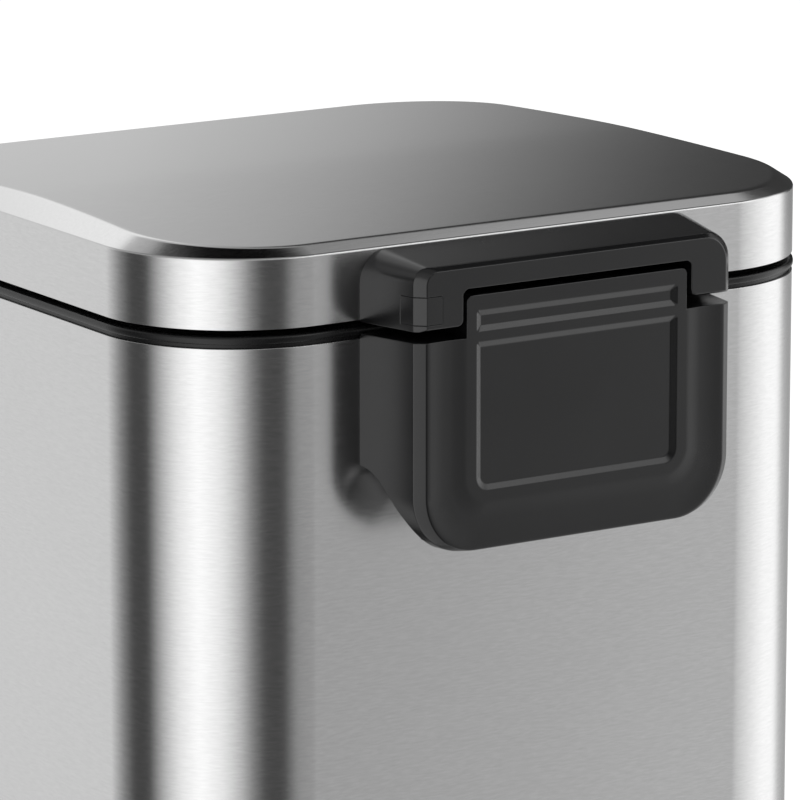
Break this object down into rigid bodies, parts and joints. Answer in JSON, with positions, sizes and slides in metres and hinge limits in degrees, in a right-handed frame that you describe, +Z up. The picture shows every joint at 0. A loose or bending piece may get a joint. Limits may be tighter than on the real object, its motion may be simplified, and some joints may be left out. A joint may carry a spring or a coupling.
{
  "type": "pedal bin",
  "caption": "Tall pedal bin with a tapered brushed steel body, an arched steel lid on a moulded rear hinge housing, and a lift-out inner bucket.",
  "frame": {"origin": "on the floor, under the middle of the bin's overall width and depth", "axes": "+Z up, +Y towards the hinge at the back, -Y towards the pedal, +X to the bin's right when seen from the front"},
  "size_m": [0.3256, 0.3508, 0.4548],
  "materials": {
    "brushed_steel": "fine horizontal brushing, satin",
    "hinge_black": "satin moulded",
    "moulded_black": "satin moulded",
    "bucket_grey": "matt moulded",
    "rubber": "matt",
    "zinc_steel": "zinc plated"
  },
  "bodies": {
    "can_body": {"outer_shell": "brushed_steel", "body_rim": "moulded_black", "base_pan": "moulded_black", "rubber_feet": "rubber", "foot_screws": "zinc_steel", "pedal_axle": "zinc_steel", "axle_clips": "zinc_steel", "hinge_housing": "hinge_black", "backing_plate": "zinc_steel", "housing_screws": "zinc_steel", "rod_channel": "bucket_grey", "hinge_pin": "zinc_steel", "damper_body": "bucket_grey", "damper_pin": "zinc_steel"},
    "lid": {"lid_shell": "brushed_steel", "lid_liner": "moulded_black", "lid_bracket": "hinge_black", "bracket_screws": "zinc_steel", "pin_cover": "hinge_black", "crank_pins": "zinc_steel", "lid_buffers": "rubber"},
    "pedal": {"pedal_lever": "zinc_steel", "pedal_tread": "moulded_black", "pedal_rivets": "zinc_steel"},
    "push_rod": {"push_rod": "zinc_steel"},
    "damper_rod": {"damper_rod": "zinc_steel"},
    "bucket": {"inner_bucket": "bucket_grey"}
  },
  "joints": [
    {"name": "lid_hinge", "type": "hinge", "parent": "can_body", "child": "lid", "pos_m": [0, 0.1675, 0.426], "axis": [-1, 0, 0], "range_deg": [0, 80]},
    {"name": "pedal_pivot", "type": "hinge", "parent": "can_body", "child": "pedal", "pos_m": [0, 0, 0.021], "axis": [1, 0, 0], "range_deg": [0, 8.65]},
    {"name": "rod_slide", "type": "slide", "parent": "can_body", "child": "push_rod", "axis": [0, 0, 1], "range_m": [0, 0.02059]},
    {"name": "damper_slide", "type": "slide", "parent": "can_body", "child": "damper_rod", "axis": [0, 0, 1], "range_m": [0, 0.02059]},
    {"name": "bucket_lift", "type": "slide", "parent": "can_body", "child": "bucket", "axis": [0, 0, 1], "range_m": [0, 0.024]}
  ],
  "couplings": [
    {"joint": "pedal_pivot", "follows": "lid_hinge", "ratio": 0.10788},
    {"joint": "rod_slide", "follows": "lid_hinge", "m_per_rad": 0.014732},
    {"joint": "damper_slide", "follows": "lid_hinge", "m_per_rad": 0.014732}
  ]
}
